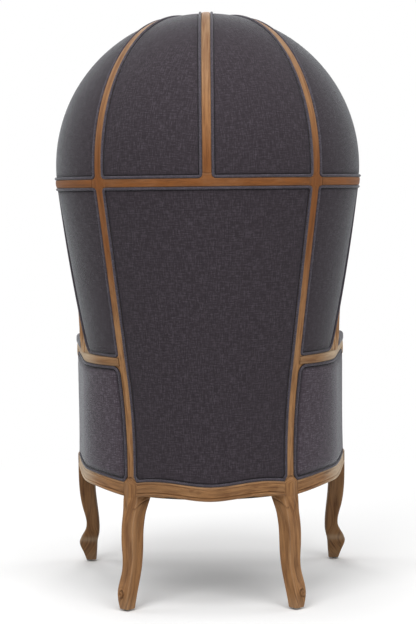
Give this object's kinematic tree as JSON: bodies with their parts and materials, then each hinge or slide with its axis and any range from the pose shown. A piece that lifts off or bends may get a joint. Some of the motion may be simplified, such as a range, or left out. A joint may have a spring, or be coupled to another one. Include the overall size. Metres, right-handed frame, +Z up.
{
  "type": "hall porter chair",
  "caption": "Tall domed hall chair: exposed oak ribs frame welted linen panels on a bell-shaped hood, with padded arms, a loose seat cushion and cabriole legs.",
  "frame": {"origin": "on the floor, under the middle of the chair's bounding box", "axes": "+Z up; the sitter faces -Y; +X is the sitter's left"},
  "size_m": [0.8272, 0.8062, 1.5592],
  "materials": {
    "oak": "warm weathered oak, sanded and dry waxed, paler where it is worn",
    "block_wood": "plain sawn hardwood",
    "linen": "heathered charcoal linen weave, matt",
    "welt_linen": "linen covered cord, matt",
    "deck_cloth": "dark lining cloth over padding",
    "dust_cloth": "black woven dust cloth",
    "spring_steel": "drawn spring wire, dull",
    "screw_steel": "bright plated",
    "glide_metal": "dull grey pressed metal"
  },
  "bodies": {
    "frame": {"rear_post_left": "oak", "rear_post_right": "oak", "belt_rail_back": "oak", "belt_rail_side_left": "oak", "belt_rail_side_right": "oak", "dome_rib_middle": "oak", "dome_rib_left": "oak", "dome_rib_right": "oak", "hood_stile_left": "oak", "hood_stile_right": "oak", "hood_arch_left": "oak", "hood_arch_right": "oak", "crown_block": "oak", "arm_rail_left": "oak", "arm_rail_right": "oak", "arm_post_left": "oak", "arm_post_right": "oak", "rear_leg_left": "oak", "rear_leg_right": "oak", "front_leg_left": "oak", "front_leg_right": "oak", "seat_rail_rear": "oak", "seat_rail_side_left": "oak", "seat_rail_side_right": "oak", "seat_rail_front": "oak", "back_panel": "linen", "side_panel_left": "linen", "side_panel_right": "linen", "arm_panel_left": "linen", "arm_panel_right": "linen", "dome_back_panel_left": "linen", "dome_back_panel_right": "linen", "dome_side_panel_left": "linen", "dome_side_panel_right": "linen", "inner_back": "linen", "inner_side_left": "linen", "inner_side_right": "linen", "inner_arm_left": "linen", "inner_arm_right": "linen", "dome_lining": "linen", "arm_pad_left": "linen", "arm_pad_right": "linen", "back_welt": "welt_linen", "side_welt_left": "welt_linen", "side_welt_right": "welt_linen", "arm_welt_left": "welt_linen", "arm_welt_right": "welt_linen", "dome_back_welt_left": "welt_linen", "dome_back_welt_right": "welt_linen", "dome_side_welt_left": "welt_linen", "dome_side_welt_right": "welt_linen", "corner_blocks": "block_wood", "corner_screws": "screw_steel", "leg_glides": "glide_metal", "seat_springs": "spring_steel", "spring_clips": "spring_steel", "seat_deck": "deck_cloth", "dust_cover": "dust_cloth"},
    "cushion": {"seat_cushion": "linen", "cushion_piping": "welt_linen"}
  },
  "joints": [
    {"name": "cushion_pull_out", "type": "slide", "parent": "frame", "child": "cushion", "axis": [0, -0.9659, 0.2588], "range_m": [0, 0.75]}
  ]
}
